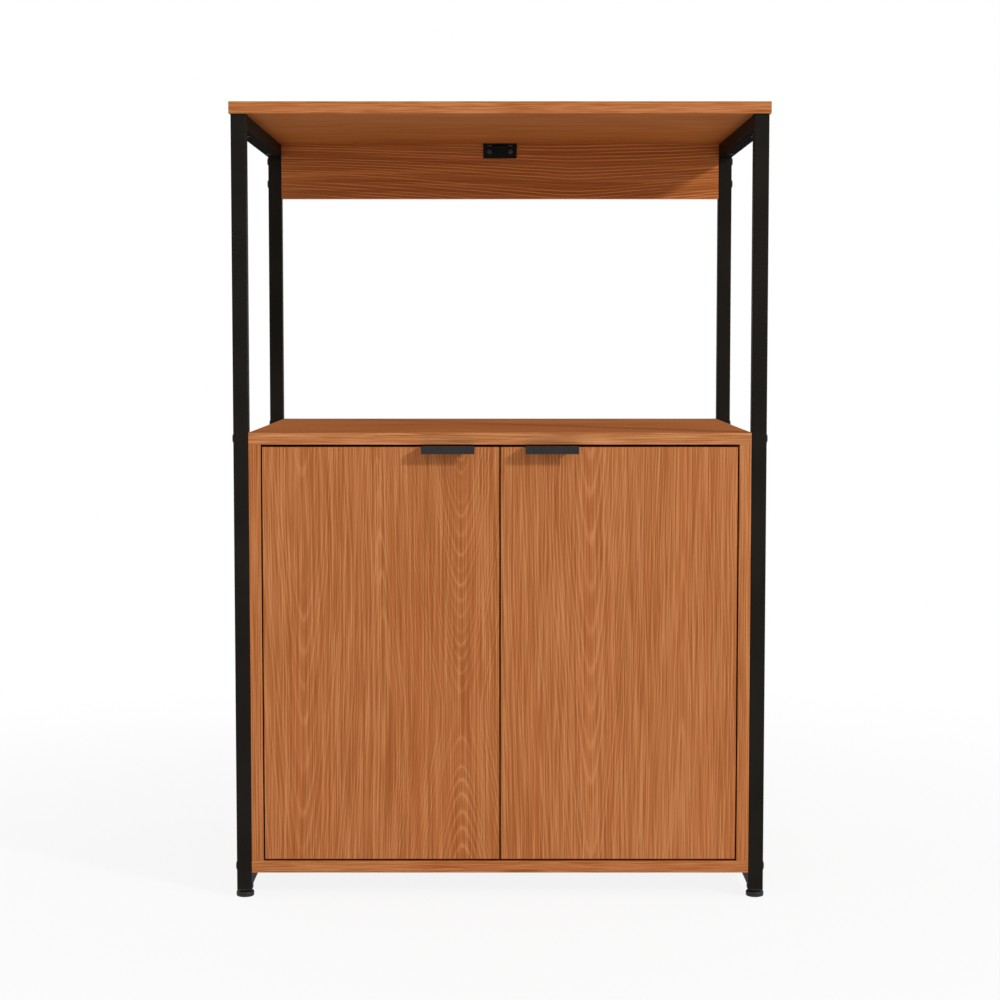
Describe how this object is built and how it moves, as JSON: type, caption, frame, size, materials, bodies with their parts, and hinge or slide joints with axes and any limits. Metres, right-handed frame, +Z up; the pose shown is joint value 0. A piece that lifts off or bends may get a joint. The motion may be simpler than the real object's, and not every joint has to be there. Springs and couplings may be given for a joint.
{
  "type": "kitchen storage cabinet",
  "caption": "Floor cabinet on a black square tube frame, with an open bay under the top board and a closed lower cupboard with inset doors.",
  "frame": {"origin": "on the floor, under the middle of the whole outline", "axes": "+Z up, the doors face -Y, +X to the right as one faces the doors"},
  "size_m": [0.672, 0.4918, 1],
  "materials": {
    "frame_tube": "satin black powder coat",
    "foot_black": "matte black moulding",
    "plug_black": "matte black moulding",
    "panel_laminate": "satin wood-grain laminate",
    "door_laminate": "satin wood-grain laminate",
    "top_laminate": "satin wood-grain laminate",
    "mid_laminate": "satin wood-grain laminate",
    "bottom_laminate": "satin wood-grain laminate",
    "apron_laminate": "satin wood-grain laminate",
    "shelf_laminate": "satin wood-grain laminate",
    "back_hardboard": "smooth printed hardboard",
    "pull_slate": "satin slate powder coat",
    "bracket_black": "satin black",
    "black_screws": "satin black",
    "screw_steel": "zinc plated",
    "hinge_steel": "nickel plated",
    "pin_steel": "bright",
    "cam_metal": "zinc casting",
    "dowel_beech": "fluted beech"
  },
  "bodies": {
    "cabinet": {"apron_bracket": "bracket_black", "back_apron": "apron_laminate", "back_panel": "back_hardboard", "bottom_board": "bottom_laminate", "bottom_rail_left": "frame_tube", "bottom_rail_right": "frame_tube", "bracket_screws": "black_screws", "cam_bolts": "cam_metal", "cam_locks": "cam_metal", "dowels": "dowel_beech", "frame_screws": "black_screws", "hinge_arm_screws_left": "screw_steel", "hinge_arm_screws_right": "screw_steel", "hinge_arms_left": "hinge_steel", "hinge_arms_right": "hinge_steel", "hinge_plate_screws_left": "screw_steel", "hinge_plate_screws_right": "screw_steel", "hinge_plates_left": "hinge_steel", "hinge_plates_right": "hinge_steel", "inner_shelf": "shelf_laminate", "leg_front_left": "frame_tube", "leg_front_right": "frame_tube", "leg_plugs": "plug_black", "leg_rear_left": "frame_tube", "leg_rear_right": "frame_tube", "mid_board": "mid_laminate", "shelf_pins": "pin_steel", "side_panel_left": "panel_laminate", "side_panel_right": "panel_laminate", "top_board": "top_laminate", "top_board_screws": "black_screws", "top_rail_left": "frame_tube", "top_rail_right": "frame_tube"},
    "door_left": {"door_left": "door_laminate", "pull_left": "pull_slate", "pull_screws_left": "screw_steel", "hinge_cups_left": "hinge_steel", "hinge_pins_left": "pin_steel", "hinge_cup_screws_left": "screw_steel"},
    "door_right": {"door_right": "door_laminate", "pull_right": "pull_slate", "pull_screws_right": "screw_steel", "hinge_cups_right": "hinge_steel", "hinge_pins_right": "pin_steel", "hinge_cup_screws_right": "screw_steel"},
    "foot_front_left": {"foot_front_left": "foot_black"},
    "foot_front_right": {"foot_front_right": "foot_black"},
    "foot_rear_left": {"foot_rear_left": "foot_black"},
    "foot_rear_right": {"foot_rear_right": "foot_black"}
  },
  "joints": [
    {"name": "door_left_swing", "type": "hinge", "parent": "cabinet", "child": "door_left", "pos_m": [-0.28725, -0.21986, 0.3106], "axis": [0, 0, -1], "range_deg": [0, 95]},
    {"name": "door_right_swing", "type": "hinge", "parent": "cabinet", "child": "door_right", "pos_m": [0.28725, -0.21986, 0.3106], "axis": [0, 0, 1], "range_deg": [0, 95]},
    {"name": "foot_front_left_thread", "type": "slide", "parent": "cabinet", "child": "foot_front_left", "axis": [0, 0, 1], "range_m": [-0.01, 0]},
    {"name": "foot_front_right_thread", "type": "slide", "parent": "cabinet", "child": "foot_front_right", "axis": [0, 0, 1], "range_m": [-0.01, 0]},
    {"name": "foot_rear_left_thread", "type": "slide", "parent": "cabinet", "child": "foot_rear_left", "axis": [0, 0, 1], "range_m": [-0.01, 0]},
    {"name": "foot_rear_right_thread", "type": "slide", "parent": "cabinet", "child": "foot_rear_right", "axis": [0, 0, 1], "range_m": [-0.01, 0]}
  ]
}
